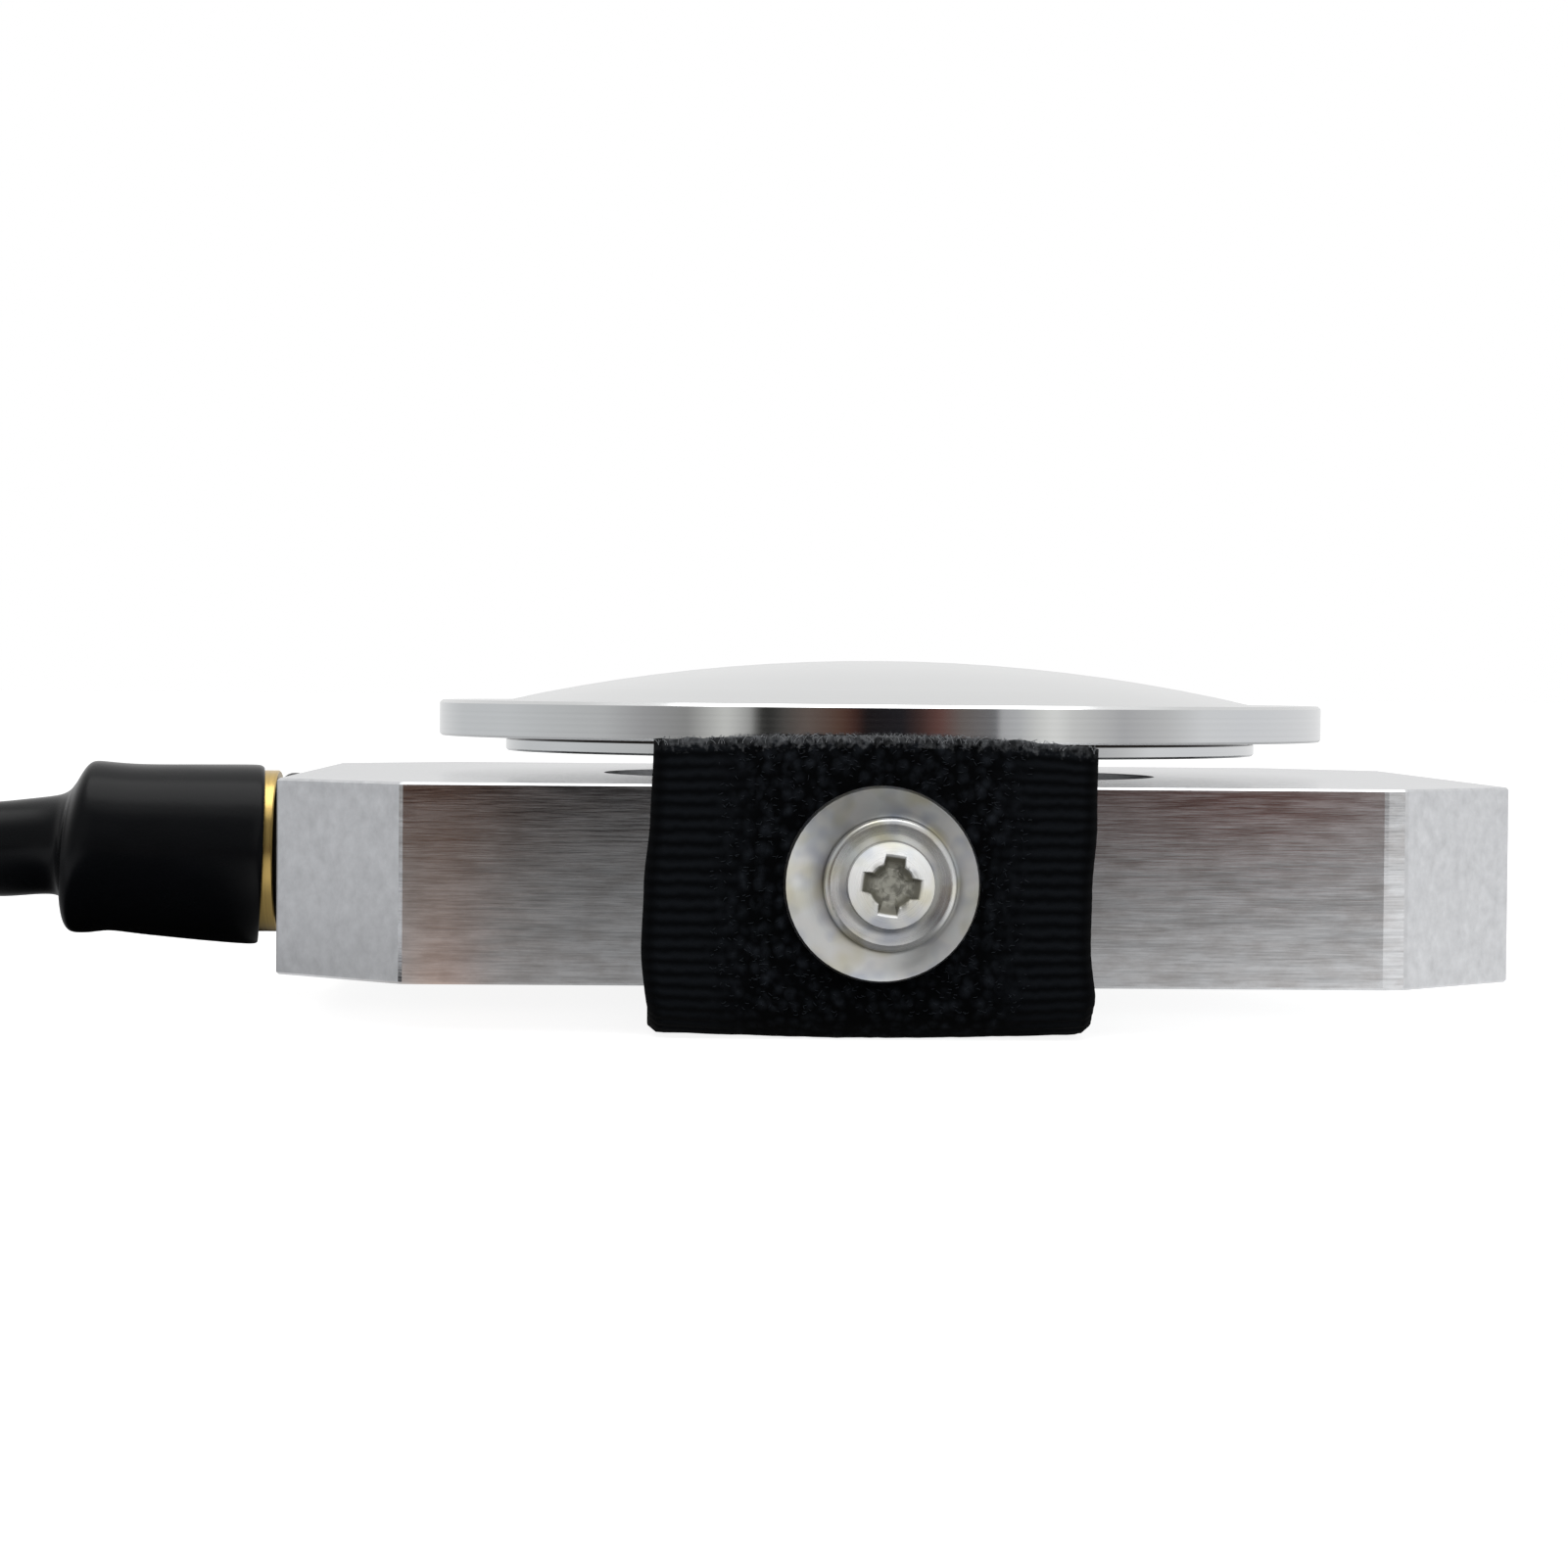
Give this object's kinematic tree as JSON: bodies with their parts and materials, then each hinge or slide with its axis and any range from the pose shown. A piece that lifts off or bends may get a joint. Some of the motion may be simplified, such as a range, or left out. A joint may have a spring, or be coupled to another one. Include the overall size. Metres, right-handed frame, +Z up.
{
  "type": "brake pedal load cell",
  "caption": "Flat octagonal aluminium load cell with a domed foot disc, black hook-and-loop straps and a coiled cable, for a brake pedal.",
  "frame": {"origin": "under the middle of the block, on the surface that the folded straps lie on", "axes": "+Z up through the foot disc, +X along the block away from the cable, -Y towards the strap that the picture shows"},
  "size_m": [0.1849, 0.0981, 0.0265],
  "materials": {
    "block_aluminium": "satin, brushed along the length of the block",
    "disc_aluminium": "turned, fine concentric tool lines",
    "bright_steel": "bright zinc plate",
    "gland_brass": "turned brass",
    "webbing": "black hook-and-loop webbing with a woven edge",
    "shrink_sleeve": "satin black heat-shrink",
    "cable_sheath": "satin black cable sheath",
    "tie_strap": "black hook-and-loop cable strap",
    "seal_rubber": "black rubber",
    "board_laminate": "green coated glass laminate",
    "gauge_film": "amber film over metal foil",
    "tinned_wire": "tinned copper",
    "chip_black": "black chip body",
    "core_red": "red insulation",
    "core_black": "black insulation",
    "core_green": "green insulation",
    "core_white": "white insulation",
    "plug_moulding": "black moulded grip with a fine texture",
    "plug_insulator": "black insulator"
  },
  "bodies": {
    "root": {"body_block": "block_aluminium", "bottom_cover": "block_aluminium", "foot_disc": "disc_aluminium", "load_flange": "disc_aluminium", "cap_screws": "bright_steel", "hub_screw": "bright_steel", "hub_dowels": "bright_steel", "cover_screws": "bright_steel", "strap_screws": "bright_steel", "cup_washers": "bright_steel", "flat_washers": "bright_steel", "plug_shell": "bright_steel", "gland_body": "gland_brass", "plug_pins": "gland_brass", "front_strap": "webbing", "rear_strap": "webbing", "shrink_boot": "shrink_sleeve", "cable_run": "cable_sheath", "cable_coil": "cable_sheath", "cable_tail": "cable_sheath", "cable_inner": "cable_sheath", "coil_ties": "tie_strap", "gland_seal": "seal_rubber", "cable_grommet": "seal_rubber", "cover_gasket": "seal_rubber", "bridge_board": "board_laminate", "strain_gauges": "gauge_film", "gauge_leads": "tinned_wire", "trim_resistors": "chip_black", "wire_red": "core_red", "wire_black": "core_black", "wire_green": "core_green", "wire_white": "core_white", "plug_grip": "plug_moulding", "plug_insert": "plug_insulator"}
  },
  "joints": []
}
